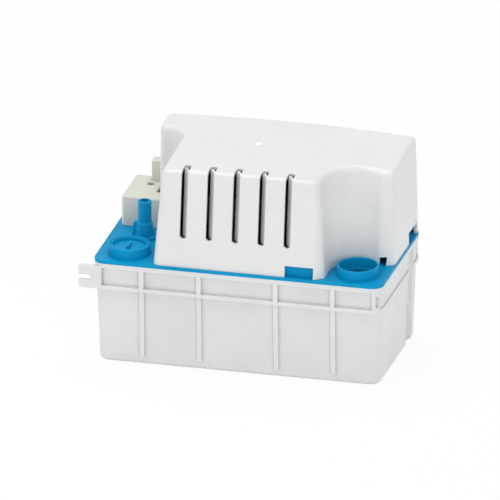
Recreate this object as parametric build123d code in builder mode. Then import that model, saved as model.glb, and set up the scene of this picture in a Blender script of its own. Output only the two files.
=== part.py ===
"""Tank condensate pump: a drafted tank, a deck that carries the pump and its motor, and a vented cover.

Millimetres. The origin is the centre of the tank's base, +X runs along the tank, +Z is up,
and the vented front of the cover looks along -Y.
"""
from build123d import *
import math
import os

os.makedirs("parts", exist_ok=True)

# ---- Tank ----
tank_length = 230.0
tank_width = 126.0
tank_height = 82.0
tank_wall = 2.5
tank_floor = 2.5
tank_draft = 2.0          # degrees, every side wall
rim_corner = 9.5
rim_depth = 3.6           # height of the rim band
side_overhang = 2.5       # rim past the long walls
end_overhang = 0.5        # rim past the end walls
ledge_drop = 21.0         # rim top to the underside of the ledge
ledge_depth = 2.8
rib_width = 3.5
rib_proud = 2.0
rib_foot = 5.0            # height where a rib runs out
rib_inner_x = 30.5
rib_outer_x = 76.0
base_edge = 2.5           # rounding round the foot of the tank
flute_width = 16.0
flute_depth = 2.6
flute_corner = 2.34
flute_back_corner = 1.56
flute_y = 34.0
lug_reach = 11.0          # mounting lug past the end of the deck
lug_thickness = 3.0
lug_slot = 4.4
lug_slot_length = 9.7
lug_slot_drop = 12.3      # rim top to the middle of the slot
lug_gap_below_rim = 2.4
lug_root = 7.0            # lug carried along the front of the band
lug_corner = 1.2
band_end_x = 107.5        # inner face of the solid band corners
socket_width = 2.6
socket_height = 9.0
socket_depth = 6.0
socket_drop = 11.5

# ---- Deck ----
deck_thickness = 2.5
inlet_x = 91.0
inlet_y = -41.0
inlet_bore = 29.3
inlet_wall = 1.7
inlet_lip = 0.595         # rounding of the collar's rim
inlet_height = 8.0
stop_bore = 25.0          # ledge that stops the inlet pipe
clip_thickness = 2.4
clip_height = 9.0
clip_lap = 1.5            # upstand past each side of its window
post_radius = 5.0
bolt_grip = 8.0           # bolt's hold in its post
deck_shaft_hole = 7.0
locator_length = 130.0
locator_width = 2.0
locator_depth = 5.0
plug_wall = 1.5
plug_recess = 3.0
plug_height = 7.4
plug_grip_length = 11.0
plug_grip_width = 1.8
plug_grip_height = 2.6

# ---- Discharge and check valve ----
outlet_x = -87.5
outlet_y = -6.0
spigot_diameter = 10.4
spigot_bore = 7.2
spigot_height = 30.0
boss_diameter = 15.0
boss_height = 11.5
spigot_flange = 21.0
spigot_flange_height = 1.6
barrel_diameter = 16.4
barrel_drop = 28.0
ball_diameter = 10.0
ball_lift = 5.0
ball_clearance = 1.4
seat_height = 4.0
seat_cone = 1.2
seat_lip = 0.5            # seat bore inside the pipe's bore
pipe_entry = 8.5          # pipe's end inside its sockets
chamber_roof = 0.5        # chamber's top below the deck's top
stop_fin = 1.2
spigot_wall = 1.6
spigot_lip = 0.96         # rounding of the spigot's mouth
boss_taper = 1.3
lug_foot = 9.5            # grip lug, outwards from the spigot's axis
lug_crest = 8.4
grip_height = 12.0
grip_width = 5.0
socket_length = 12.0
pipe_diameter = 12.6
pipe_bore = 8.6
pipe_bend = 16.0

# ---- Motor cover ----
cover_wall = 2.5
cover_front = -61.5
cover_rear = 60.0
cover_left = -86.0
cover_right = 112.0
recess_left = -65.5       # left wall beside the discharge
recess_rear = 29.0
recess_radius = 15.0
scoop_radius = 28.5       # hollow round the right-hand inlet
front_lean = 7.8          # degrees from upright
rear_lean = 1.5
left_lean = 4.9
right_lean = 2.1
recess_side_lean = 5.3
recess_rear_lean = 1.0
roof_headroom = 8.9       # roof's outside over the fan's top, at the origin
roof_rise = 2.65          # degrees, up to the rear
roof_crown_radius = 1500.0
roof_crown_x = 15.0
upright_edge = 5.0
roof_edge = 4.2
vent_count = 5
vent_pitch = 20.65
vent_middle_x = -2.1
vent_width = 4.8
vent_base = 25.0          # above the rim
vent_roof_end = -39.0
blade_depth = 7.0
blade_reach = 3.6
blade_thickness = 1.5
blade_root = 0.8          # blade starts inside the wall
vent_cut_depth = 6.0
vent_cut_past = 1.0       # cut carried past the wall
cover_form_spare = 13.1   # the tapered form that the roof is cut from stands this far past it
cover_core_height = 60.0
slit_y = 46.0
slit_rise = 15.5          # above the rim
slit_width = 1.6
slit_height = 4.0
notch_x = 105.5
notch_y = -16.0
notch_width = 4.0
notch_height = 7.0
notch_turn = -28.0
gate_x = -1.0
gate_y = 11.0
gate_radius = 2.6
gate_depth = 0.5
front_window_x = 48.9
front_window_width = 22.8
front_window_height = 9.0
side_window_y = 39.5
side_window_width = 25.0
side_window_height = 9.6

# ---- Terminal box ----
box_left = -111.0
box_front = 12.7
box_rear = 60.0
box_height = 24.0         # above the deck, lid included
box_wall = 2.0
box_lid_height = 5.0
box_corner = 2.4
box_gap = 0.8             # to the motor cover
box_screw_x = -95.0
box_screw_y = 43.0
tower_width = 7.6
tower_depth = 10.0
tower_height = 40.0
grommet_x = -102.7
grommet_rise = 11.0
grommet_diameter = 10.0
grommet_bore = 6.4
grommet_flange = 11.4
grommet_proud = 2.2
tower_inset = 2.0         # tower in from the box's right side
box_post_radius = 3.6
box_screw_radius = 1.5
box_head_radius = 2.8
box_head = 1.6
box_recess_length = 3.4
box_recess_width = 0.9
box_screw_grip = 8.0
box_lid_edge = 1.6
block_x = -100.0
block_y = 24.0
block_pitch = 6.0
terminal_well = 1.8       # radius over each screw
terminal_bore = 1.32
block_width = 11.0
block_height = 11.0

# ---- Motor and pump ----
motor_x = 8.0
motor_y = 8.0
post_height = 9.5         # deck posts under the motor
bracket_height = 12.0
core_height = 25.0
core_half_width = 31.0
core_coil_reach = 47.0    # shaft to the outside of the coil limb
limb_width = 11.0
window_length = 36.0
window_width = 16.0
bolt_offset = 25.0
bolt_diameter = 4.0
hub_radius = 11.0
hub_height = 9.0
hub_overhang = 2.0        # hub past the outer face of its bracket
shading_slot = 2.4
shading_x = 6.0           # slots of a shading ring, from the shaft
shading_span = 8.0
shading_y = 20.0
arm_width = 7.0
arm_depth = 5.0
bearing_radius = 8.0
shaft_radius = 3.0
running_gap = 0.05
rotor_radius = 15.9
rotor_gap = 0.4
bobbin_wall = 1.2
winding_depth = 10.5
winding_corner = 5.0
fan_radius = 30.0
fan_height = 9.0
fan_blades = 8
pump_clearance = 5.0      # suction plate above the tank floor
plate_thickness = 2.5
volute_height = 17.0
volute_radius = 24.0
volute_wall = 3.0
flange_radius = 30.0
flange_thickness = 3.0
impeller_radius = 19.0
vane_mid_x = 10.45        # point that bends the vane's middle line
vane_mid_y = 3.04
vane_tip_x = 16.15        # where the vane's middle line ends
vane_tip_y = 9.12
impeller_height = 11.0
impeller_vanes = 6
impeller_rise = 1.5       # above the suction plate
impeller_disc = 1.5
impeller_hub = 6.0
eye_skirt = 3.6
eye_notch = 7.0
eye_notch_height = 1.8
socket_wall = 1.8
volute_screw_turn = 45.0
pump_screw_radius = 1.5
pump_screw_head = 2.0
column_flange = 22.0
column_window = 9.0
column_window_height = 26.0
column_screw_turn = 30.0
bolt_head_radius = 3.8
bolt_head = 3.2
fan_clearance = 1.0
fan_disc = 1.3
fan_hub = 7.0
rotor_overhang = 1.0
rotor_ring_step = 2.0
thrust_play = 1.6
washer_thickness = 0.5
slinger_z = 70.0
slinger_height = 2.5
slinger_radius = 8.5
eye_radius = 8.0
column_radius = 15.0
column_wall = 3.5

# ---- Float and switches ----
float_x = 76.0
float_y = 12.0
float_length = 38.0
float_width = 44.0
float_height = 24.0
float_rest = 20.0         # underside of the float above the tank's base
stem_radius = 2.5
stem_tip = 1.25           # rounding of the stem's top
guide_radius = 6.5
guide_rise = 7.5
guide_drop = 10.0
collar_height = 2.4
collar_radius = 5.5
lever_rise = 13.5         # lever underside above the deck
lever_thickness = 1.6
lever_width = 13.0
lever_length = 34.0       # stem to pivot
pivot_radius = 1.2
plunger_offset = 4.2
plunger_radius = 1.2
switch_length = 20.0
switch_width = 6.4
switch_height = 10.2
switch_gap = 2.0
switch_rise = 7.4         # lever to switch
plunger_length = 9.2
plunger_well = 5.4
tag_thickness = 0.8
tag_height = 2.6
lever_hub = 2.3
lever_drop = 1.3          # lever plate's underside below its pivot's top of hub
lever_tip = 3.0           # lever past the stem's axis
cheek_gap = 1.2
cheek_length = 24.0
bracket_y = 42.0
base_screw_span = 14.0
switch_front_y = 35.0
switch_rear_y = 49.0
switch_pin_rise = 7.3     # above the switch's underside
float_corner = 6.0
float_edge = 3.0
stem_foot = 2.0           # foot that holds the float on its stem
cheek_thickness = 1.5
cheek_height = 35.5

touch_gap = 0.3           # between pieces that meet but do not join
slide_gap = 0.35
screw_gap = 0.2

# ---- Levels and places that follow ----
deck_top = tank_height + deck_thickness
ledge_bottom = tank_height - ledge_drop
wall_half_x = tank_length / 2 - end_overhang
wall_half_y = tank_width / 2 - side_overhang
inlet_outer = inlet_bore / 2 + inlet_wall
shaft_centre = (motor_x, motor_y)
bracket_bottom = deck_top + post_height
core_bottom = bracket_bottom + bracket_height
core_top = core_bottom + core_height
bracket_top = core_top + bracket_height
fan_bottom = bracket_top + hub_overhang + fan_clearance
shaft_top = fan_bottom + fan_height
roof_height = shaft_top + roof_headroom - tank_height
cover_form_height = roof_height + cover_form_spare
bolt_places = [
    (motor_x + sx * bolt_offset, motor_y + sy * bolt_offset) for sx in (-1, 1) for sy in (-1, 1)
]
suction_plate_bottom = tank_floor + pump_clearance
volute_bottom = suction_plate_bottom + plate_thickness
volute_top = volute_bottom + volute_height
discharge_z = volute_bottom + volute_height / 2


def finish(part, name):
    """Label a finished piece and write it out."""
    part.label = name
    export_step(part, f"parts/{name}.step")


def leaned(place, lean, height):
    """Place of a wall that leans in by an angle, at a height above the deck."""
    return place + height * math.tan(math.radians(lean))


def draft_at(z):
    """How far the tank's drafted wall has stepped in at height z."""
    return (tank_height - z) * math.tan(math.radians(tank_draft))


# ======== Tank ========
def tank_section(z, inset):
    """Draw the outline of the tank's wall at height z, inset from its outer face."""
    RectangleRounded(
        2 * (wall_half_x - draft_at(z) - inset),
        2 * (wall_half_y - draft_at(z) - inset),
        rim_corner - end_overhang - inset,
    )


def half_rib():
    """Outline of half a rib: flush with the rim down to the ledge, then following the draft."""
    ledge_wall = wall_half_y - draft_at(ledge_bottom)
    foot_wall = wall_half_y - draft_at(rib_foot)
    with BuildLine() as outline:
        Polyline(
            (0, tank_height - rim_depth),
            (tank_width / 2, tank_height - rim_depth),
            (tank_width / 2, ledge_bottom),
            (ledge_wall + rib_proud, ledge_bottom),
            (foot_wall + rib_proud, rib_foot + rib_proud),
            (foot_wall - tank_wall / 2, rib_foot),
            (0, rib_foot),
            close=True,
        )
    return outline.edges()


lug_face = -tank_width / 2
lug_middle = tank_height - lug_slot_drop
lug_height = ledge_drop - lug_gap_below_rim

with BuildPart() as tank:
    for z in (0, tank_height):
        with BuildSketch(Plane.XY.offset(z)):
            tank_section(z, 0)
    loft()
    fillet(tank.faces().sort_by(Axis.Z)[0].edges(), base_edge)
    # rim band and ledge
    for z, depth in ((tank_height - rim_depth, rim_depth), (ledge_bottom, ledge_depth)):
        with BuildSketch(Plane.XY.offset(z)):
            RectangleRounded(tank_length, tank_width, rim_corner)
        extrude(amount=depth)
    # solid corners that close the band between them
    with BuildSketch(Plane.XY.offset(ledge_bottom)):
        RectangleRounded(tank_length - 2 * end_overhang, tank_width, rim_corner)
        Rectangle(2 * band_end_x, tank_width, mode=Mode.SUBTRACT)
        Rectangle(tank_length, 2 * (wall_half_y - tank_wall), mode=Mode.SUBTRACT)
    extrude(amount=ledge_drop - rim_depth)
    for x in (-rib_outer_x, -rib_inner_x, rib_inner_x, rib_outer_x):
        with BuildSketch(Plane.YZ.offset(x - rib_width / 2)):
            make_face(half_rib())
            mirror(about=Plane.YZ)
        extrude(amount=rib_width)
    # hollow
    for z in (tank_floor, tank_height):
        with BuildSketch(Plane.XY.offset(z)):
            tank_section(z, tank_wall)
    loft(mode=Mode.SUBTRACT)
    # upright flute in each end wall, with the wall stepped in behind it
    for side in (-1, 1):
        for z in (tank_floor / 2, tank_height):
            inner = wall_half_x - draft_at(z) - flute_depth - tank_wall
            with BuildSketch(Plane.XY.offset(z)):
                with Locations((side * (inner + flute_depth), flute_y)):
                    RectangleRounded(2 * flute_depth, flute_width + 2 * tank_wall, flute_back_corner)
        loft()
        for z in (-tank_floor, tank_height - rim_depth):
            floor_x = wall_half_x - draft_at(z) - flute_depth
            with BuildSketch(Plane.XY.offset(z)):
                with Locations((side * (floor_x + 2 * flute_depth), flute_y)):
                    RectangleRounded(4 * flute_depth, flute_width, flute_corner)
        loft(mode=Mode.SUBTRACT)
    # mounting lug at the left end, open-ended slot outwards
    with BuildSketch(Plane.XZ.offset(-lug_face)) as tank_lug:
        with Locations((-(tank_length / 2 + lug_reach), ledge_bottom)):
            Rectangle(lug_reach + lug_root, lug_height, align=(Align.MIN, Align.MIN))
        fillet(tank_lug.vertices().group_by(Axis.X)[0], lug_corner)
        with Locations((-(tank_length / 2 + lug_reach), lug_middle)):
            SlotOverall(2 * lug_slot_length, lug_slot, mode=Mode.SUBTRACT)
    extrude(amount=-lug_thickness)
    # socket for a second lug in the right-hand end of the band
    with Locations((tank_length / 2, lug_face + lug_thickness, tank_height - socket_drop)):
        Box(2 * socket_depth, socket_width, socket_height, mode=Mode.SUBTRACT)
finish(tank.part, "tank")

# ======== Deck plate ========
inlet_places = [(-inlet_x, inlet_y), (inlet_x, inlet_y)]
guide_top = deck_top + guide_rise
front_clip_y = leaned(cover_front, front_lean, clip_height) + cover_wall + touch_gap
side_clip_x = leaned(cover_right, -right_lean, clip_height) - cover_wall - touch_gap
barrel_hole = barrel_diameter / 2 + screw_gap

with BuildPart() as deck_plate:
    with BuildSketch(Plane.XY.offset(tank_height)):
        RectangleRounded(tank_length, tank_width, rim_corner)
    extrude(amount=deck_thickness)
    # ribs that locate the deck between the tank's long walls
    for side in (-1, 1):
        locator_y = wall_half_y - draft_at(tank_height - locator_depth) - tank_wall - slide_gap
        with BuildSketch(Plane.XY.offset(tank_height)):
            with Locations((0, side * (locator_y - locator_width / 2))):
                Rectangle(locator_length, locator_width)
        extrude(amount=-locator_depth)
    with BuildSketch(Plane.XY.offset(deck_top)):
        with Locations(*inlet_places):
            Circle(inlet_outer)
    extrude(amount=inlet_height)
    # posts under the motor, guide for the float's stem, upstands behind the cover's windows
    with BuildSketch(Plane.XY.offset(deck_top)):
        with Locations(*bolt_places):
            Circle(post_radius)
    extrude(amount=post_height)
    with BuildSketch(Plane.XY.offset(tank_height - guide_drop)):
        with Locations((float_x, float_y)):
            Circle(guide_radius)
    extrude(amount=guide_drop + deck_thickness + guide_rise)
    with BuildSketch(Plane.XY.offset(deck_top)):
        with Locations((front_window_x, front_clip_y + clip_thickness / 2)):
            Rectangle(front_window_width + 2 * clip_lap, clip_thickness)
        with Locations((side_clip_x - clip_thickness / 2, side_window_y)):
            Rectangle(clip_thickness, side_window_width + 2 * clip_lap)
    extrude(amount=clip_height)
    # openings: inlets over their pipe stops, shaft, stem, discharge barrel, bolts
    with BuildSketch(Plane.XY.offset(deck_top)):
        with Locations(*inlet_places):
            Circle(inlet_bore / 2)
    extrude(amount=inlet_height, mode=Mode.SUBTRACT)
    with BuildSketch(Plane.XY.offset(tank_height)):
        with Locations(*inlet_places):
            Circle(stop_bore / 2)
        with Locations(shaft_centre):
            Circle(deck_shaft_hole)
        with Locations((outlet_x, outlet_y)):
            Circle(barrel_hole)
    extrude(amount=deck_thickness, mode=Mode.SUBTRACT)
    with Locations((float_x, float_y, deck_top)):
        Cylinder(stem_radius + slide_gap, 4 * guide_drop, mode=Mode.SUBTRACT)
    for x, y in bolt_places:
        with Locations((x, y, bracket_bottom)):
            Cylinder(
                bolt_diameter / 2,
                bolt_grip,
                align=(Align.CENTER, Align.CENTER, Align.MAX),
                mode=Mode.SUBTRACT,
            )
    collar_rims = deck_plate.edges().filter_by(GeomType.CIRCLE).filter_by_position(
        Axis.Z, deck_top + inlet_height - 0.01, deck_top + inlet_height + 0.01
    )
    fillet(collar_rims.filter_by(lambda e: e.radius > stop_bore / 2), inlet_lip)
finish(deck_plate.part, "deck_plate")


# ======== Inlet plug: a dished cap with a grip bar, pushed down to the pipe stop ========
plug_radius = inlet_bore / 2 - slide_gap
plug_floor = deck_top + inlet_height - plug_recess - plug_wall

with BuildPart() as inlet_plug:
    with Locations((-inlet_x, inlet_y, deck_top)):
        Cylinder(plug_radius, plug_height, align=(Align.CENTER, Align.CENTER, Align.MIN))
    with BuildSketch(Plane.XY.offset(plug_floor + plug_wall)):
        with Locations((-inlet_x, inlet_y)):
            Circle(plug_radius - plug_wall)
    extrude(amount=inlet_height, taper=-6, mode=Mode.SUBTRACT)
    with BuildSketch(Plane.XY.offset(deck_top)):
        with Locations((-inlet_x, inlet_y)):
            Circle(plug_radius - plug_wall)
    extrude(amount=plug_floor - deck_top, mode=Mode.SUBTRACT)
    with BuildSketch(Plane.XY.offset(plug_floor)):
        with Locations((-inlet_x, inlet_y)):
            SlotOverall(plug_grip_length, plug_grip_width, rotation=90)
    extrude(amount=plug_wall + plug_grip_height)
finish(inlet_plug.part, "inlet_plug")


# ======== Discharge: spigot with check valve, ball, seat and riser pipe ========
outlet_place = (outlet_x, outlet_y)
barrel_bottom = deck_top - barrel_drop
chamber_radius = ball_diameter / 2 + ball_clearance
chamber_top = deck_top - chamber_roof
seat_bottom = barrel_bottom + pipe_entry
seat_bore = pipe_bore / 2 - seat_lip
seat_edge = seat_bottom + seat_height - seat_cone
ball_rest = seat_edge + math.sqrt((ball_diameter / 2) ** 2 - seat_bore**2) + touch_gap
ball_stop = ball_rest + ball_lift + ball_diameter / 2 + touch_gap

with BuildPart() as discharge_spigot:
    with BuildSketch(Plane.XZ):
        with BuildLine():
            Polyline(
                (0, deck_top - barrel_drop),
                (barrel_diameter / 2, barrel_bottom),
                (barrel_diameter / 2, deck_top),
                (spigot_flange / 2, deck_top),
                (spigot_flange / 2, deck_top + spigot_flange_height),
                (boss_diameter / 2, deck_top + spigot_flange_height),
                (boss_diameter / 2 - boss_taper, deck_top + boss_height),
                (spigot_diameter / 2, deck_top + boss_height + boss_taper),
                (spigot_diameter / 2, deck_top + spigot_height),
                (0, deck_top + spigot_height),
                close=True,
            )
        make_face()
    revolve(axis=Axis.Z)
    # grip lug that turns the cartridge in the deck
    with BuildSketch(Plane.XZ):
        with BuildLine():
            Polyline(
                (0, deck_top + spigot_flange_height / 2),
                (-lug_foot, deck_top + spigot_flange_height / 2),
                (-lug_crest, deck_top + grip_height),
                (0, deck_top + grip_height),
                close=True,
            )
        make_face()
    extrude(amount=grip_width / 2, both=True)
    fillet(
        discharge_spigot.edges().filter_by(GeomType.CIRCLE).sort_by(Axis.Z)[-1],
        spigot_lip,
    )
    with BuildSketch(Plane.XY.offset(barrel_bottom)):
        Circle(chamber_radius)
    extrude(amount=chamber_top - barrel_bottom, mode=Mode.SUBTRACT)
    with BuildSketch(Plane.XY.offset(barrel_bottom)):
        Circle(spigot_bore / 2)
    extrude(amount=barrel_drop + spigot_height, mode=Mode.SUBTRACT)
    # fins that stop the ball short of the outlet
    with BuildSketch(Plane.XY.offset(ball_stop)):
        with PolarLocations((chamber_radius + spigot_bore / 2) / 2, 3):
            Rectangle(chamber_radius - spigot_bore / 2 + spigot_wall, stop_fin)
    extrude(amount=chamber_top - ball_stop + chamber_roof / 2)
discharge_spigot.part.position = Vector(outlet_x, outlet_y, 0)
finish(discharge_spigot.part, "discharge_spigot")

with BuildPart() as check_valve_seat:
    with BuildSketch(Plane.XY.offset(seat_bottom)):
        with Locations(outlet_place):
            Circle(chamber_radius - running_gap)
            Circle(seat_bore, mode=Mode.SUBTRACT)
    extrude(amount=seat_height)
    mouth = check_valve_seat.faces().sort_by(Axis.Z)[-1].edges().sort_by(SortBy.RADIUS)[0]
    chamfer(mouth, seat_cone)
finish(check_valve_seat.part, "check_valve_seat")

with BuildPart() as check_valve_ball:
    with Locations((outlet_x, outlet_y, ball_rest)):
        Sphere(ball_diameter / 2)
finish(check_valve_ball.part, "check_valve_ball")

# The socket stands off the volute towards the riser, in line with the discharge
socket_end_x = motor_x - flange_radius - socket_length
pipe_start_x = socket_end_x + pipe_entry

with BuildPart() as discharge_pipe:
    with BuildLine() as pipe_path:
        FilletPolyline(
            (pipe_start_x, outlet_y, discharge_z),
            (outlet_x, outlet_y, discharge_z),
            (outlet_x, outlet_y, seat_bottom),
            radius=pipe_bend,
        )
    with BuildSketch(Plane((pipe_start_x, outlet_y, discharge_z), z_dir=(-1, 0, 0))):
        Circle(pipe_diameter / 2)
        Circle(pipe_bore / 2, mode=Mode.SUBTRACT)
    sweep(path=pipe_path.line)
finish(discharge_pipe.part, "discharge_pipe")


# ======== Motor cover ========
def cover_outline(height, inset):
    """Sketch of the cover's outline at a height, without the scoop; inset from the outer face."""
    front = leaned(cover_front, front_lean, height) + inset
    rear = leaned(cover_rear, -rear_lean, height) - inset
    left = leaned(cover_left, left_lean, height) + inset
    right = leaned(cover_right, -right_lean, height) - inset
    side = leaned(recess_left, recess_side_lean, height) + inset
    back = leaned(recess_rear, recess_rear_lean, height) + inset
    radius = recess_radius + inset
    with BuildSketch(Plane.XY.offset(deck_top + height)) as outline:
        with BuildLine():
            Polyline(
                (side, back - radius), (side, front), (right, front),
                (right, rear), (left, rear), (left, back), (side - radius, back),
            )
            RadiusArc((side - radius, back), (side, back - radius), radius)
        make_face()
    return outline


def cover_block(inset):
    """Outer form of the cover, or with an inset its hollow."""
    corner_z = deck_top + cover_core_height / 2
    middle = cover_core_height / 2
    front = leaned(cover_front, front_lean, middle)
    rear = leaned(cover_rear, -rear_lean, middle)
    left = leaned(cover_left, left_lean, middle)
    right = leaned(cover_right, -right_lean, middle)
    corners = [
        (leaned(recess_left, recess_side_lean, middle), front),
        (inlet_x - math.sqrt(scoop_radius**2 - (front - inlet_y) ** 2), front),
        (right, inlet_y + math.sqrt(scoop_radius**2 - (right - inlet_x) ** 2)),
        (right, rear),
        (left, rear),
        (left, leaned(recess_rear, recess_rear_lean, middle)),
    ]
    with BuildPart() as block:
        loft([cover_outline(height, inset).sketch for height in (0, cover_form_height)])
        with BuildSketch(Plane.XY.offset(deck_top - cover_wall)):
            with Locations((inlet_x, inlet_y)):
                Circle(scoop_radius + inset)
                Rectangle(tank_length, tank_width, align=(Align.MIN, Align.MAX))
        extrude(amount=2 * cover_form_height, mode=Mode.SUBTRACT)
        for x, y in corners:
            upright = block.edges().sort_by_distance((x, y, corner_z))[0]
            fillet(upright, upright_edge - inset)
        # crowned roof, rising to the rear
        slope = math.radians(roof_rise)
        roof_plane = Plane(
            origin=(roof_crown_x, 0, tank_height + roof_height - inset),
            x_dir=(1, 0, 0),
            z_dir=(0, -math.cos(slope), -math.sin(slope)),
        )
        with BuildSketch(roof_plane):
            with Locations((0, -roof_crown_radius)):
                Circle(roof_crown_radius)
            Rectangle(2 * tank_length, 4 * tank_height, mode=Mode.INTERSECT)
        extrude(amount=tank_width, both=True, mode=Mode.INTERSECT)
        roof = block.faces().sort_by(Axis.Z)[-1]
        fillet(roof.edges(), roof_edge - inset)
    return block.part


front_slope = Plane(
    origin=(0, cover_front, deck_top),
    x_dir=(1, 0, 0),
    z_dir=(0, -math.cos(math.radians(front_lean)), math.sin(math.radians(front_lean))),
)
vent_places = [vent_middle_x + (i - (vent_count - 1) / 2) * vent_pitch for i in range(vent_count)]
cover_shell = cover_block(0)
cover_hollow = cover_block(cover_wall)
roof_z = tank_height + roof_height

with BuildPart() as motor_cover:
    add(cover_shell)
    add(cover_hollow, mode=Mode.SUBTRACT)
    # vents up the front and over the roof's edge
    vent_back = leaned(cover_front, front_lean, roof_height) + cover_wall + vent_cut_past
    for x in vent_places:
        with BuildSketch(Plane.XZ.offset(-vent_back)):
            with Locations((x, roof_z)):
                SlotOverall(2 * (roof_height - vent_base), vent_width, rotation=90)
        extrude(amount=vent_back - 2 * cover_front + vent_roof_end, mode=Mode.SUBTRACT)
        with BuildSketch(Plane.XY.offset(roof_z - vent_cut_depth)):
            with Locations((x, cover_front)):
                SlotOverall(2 * (vent_roof_end - cover_front), vent_width, rotation=90)
        extrude(amount=2 * vent_cut_depth, mode=Mode.SUBTRACT)
    # blind blades behind the vents, from each slot's right edge back across it
    blade_plane = Plane(
        origin=front_slope.origin + front_slope.y_dir * (vent_base - deck_thickness),
        x_dir=(1, 0, 0),
        z_dir=front_slope.y_dir,
    )
    for x in vent_places:
        edge = x + vent_width / 2
        with BuildSketch(blade_plane):
            with BuildLine():
                Polyline(
                    (edge, blade_root),
                    (edge + blade_thickness, blade_root),
                    (edge + blade_thickness - blade_reach, blade_depth),
                    (edge - blade_reach, blade_depth),
                    close=True,
                )
            make_face()
        extrude(amount=cover_form_height)
    add(cover_shell, mode=Mode.INTERSECT)
    # windows over the deck's upstands, notch beside the inlet, slit over the side window
    with BuildSketch(Plane.XY.offset(deck_top)):
        with Locations((front_window_x, cover_front)):
            Rectangle(front_window_width, 4 * cover_wall)
    extrude(amount=front_window_height, mode=Mode.SUBTRACT)
    with BuildSketch(Plane.XY.offset(deck_top)):
        with Locations((cover_right, side_window_y)):
            Rectangle(4 * cover_wall, side_window_width)
    extrude(amount=side_window_height, mode=Mode.SUBTRACT)
    with Locations((cover_right, slit_y, tank_height + slit_rise)):
        Box(4 * cover_wall, slit_width, slit_height, mode=Mode.SUBTRACT)
    with Locations((notch_x, notch_y, deck_top)):
        Box(notch_width, 4 * cover_wall, 2 * notch_height, rotation=(0, 0, notch_turn), mode=Mode.SUBTRACT)
    # gate mark in the roof
    with Locations((gate_x, gate_y, roof_z + gate_y * math.tan(math.radians(roof_rise)))):
        Cylinder(gate_radius, 2 * gate_depth, mode=Mode.SUBTRACT)
finish(motor_cover.part, "motor_cover")


# ======== Terminal box at the rear left of the deck ========
lid_bottom = deck_top + box_height - box_lid_height
box_screw_place = (box_screw_x, box_screw_y)
tower_place = (cover_left - box_gap - tower_inset - tower_width / 2, box_rear - tower_depth / 2)
grommet_z = deck_top + grommet_rise


def box_outline(inset):
    """Sketch of the terminal box's outline: a rectangle cut back along the motor cover."""
    with BuildSketch() as outline:
        with Locations(((box_left + recess_left) / 2, (box_front + box_rear) / 2)):
            Rectangle(recess_left - box_left, box_rear - box_front)
        add(cover_outline(0, -box_gap).sketch_local, mode=Mode.SUBTRACT)
        fillet(outline.vertices().group_by(Axis.X)[0], box_corner)
        if inset > 0:
            offset(amount=-inset, kind=Kind.INTERSECTION)
    return outline.sketch_local


with BuildPart() as terminal_box:
    with BuildSketch(Plane.XY.offset(deck_top)):
        add(box_outline(0))
    extrude(amount=lid_bottom - deck_top)
    with BuildSketch(Plane.XY.offset(deck_top + box_wall)):
        add(box_outline(box_wall))
    extrude(amount=box_height, mode=Mode.SUBTRACT)
    # cable tower in the rear corner, and the post under the lid's screw
    with BuildSketch(Plane.XY.offset(deck_top)):
        with Locations(tower_place):
            RectangleRounded(tower_width, tower_depth, box_wall / 2)
        with Locations(box_screw_place):
            Circle(box_post_radius)
    extrude(amount=lid_bottom - deck_top)
    with BuildSketch(Plane.XY.offset(lid_bottom)):
        with Locations(tower_place):
            RectangleRounded(tower_width, tower_depth, box_wall / 2)
    extrude(amount=deck_top + tower_height - lid_bottom)
    with BuildSketch(Plane.XY.offset(deck_top + box_wall)):
        with Locations(tower_place):
            Rectangle(tower_width - 2 * box_wall, tower_depth - 2 * box_wall)
    extrude(amount=tower_height - 2 * box_wall, mode=Mode.SUBTRACT)
    with Locations((*box_screw_place, lid_bottom)):
        Cylinder(box_screw_radius + screw_gap, 2 * box_screw_grip, mode=Mode.SUBTRACT)
    with BuildSketch(Plane.XZ.offset(-box_rear)):
        with Locations((grommet_x, grommet_z)):
            Circle(grommet_diameter / 2)
    extrude(amount=box_wall, mode=Mode.SUBTRACT)
finish(terminal_box.part, "terminal_box")

with BuildPart() as terminal_box_lid:
    with BuildSketch(Plane.XY.offset(lid_bottom)):
        add(box_outline(0))
    extrude(amount=box_lid_height)
    fillet(terminal_box_lid.faces().sort_by(Axis.Z)[-1].edges(), box_lid_edge)
    with BuildSketch(Plane.XY.offset(lid_bottom)):
        add(box_outline(box_wall))
        with Locations(box_screw_place):
            Circle(box_post_radius, mode=Mode.SUBTRACT)
    extrude(amount=box_lid_height - box_wall, mode=Mode.SUBTRACT)
    with BuildSketch(Plane.XY.offset(lid_bottom)):
        with Locations(tower_place):
            Rectangle(tower_width + 2 * screw_gap, tower_depth + 2 * screw_gap)
    extrude(amount=box_lid_height, mode=Mode.SUBTRACT)
    with Locations((*box_screw_place, lid_bottom + box_lid_height)):
        CounterBoreHole(
            box_screw_radius + screw_gap,
            box_head_radius + screw_gap,
            box_lid_height - box_wall,
            box_lid_height,
        )
finish(terminal_box_lid.part, "terminal_box_lid")


with BuildPart() as box_lid_screw:
    with Locations((*box_screw_place, lid_bottom + box_wall)):
        Cylinder(box_head_radius, box_head, align=(Align.CENTER, Align.CENTER, Align.MIN))
        Cylinder(
            box_screw_radius, box_wall + box_screw_grip, align=(Align.CENTER, Align.CENTER, Align.MAX)
        )
    # cross recess
    with BuildSketch(Plane.XY.offset(lid_bottom + box_wall + box_head)):
        with Locations(box_screw_place):
            Rectangle(box_recess_length, box_recess_width)
            Rectangle(box_recess_width, box_recess_length)
    extrude(amount=-box_head / 2, mode=Mode.SUBTRACT)
finish(box_lid_screw.part, "box_lid_screw")

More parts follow.
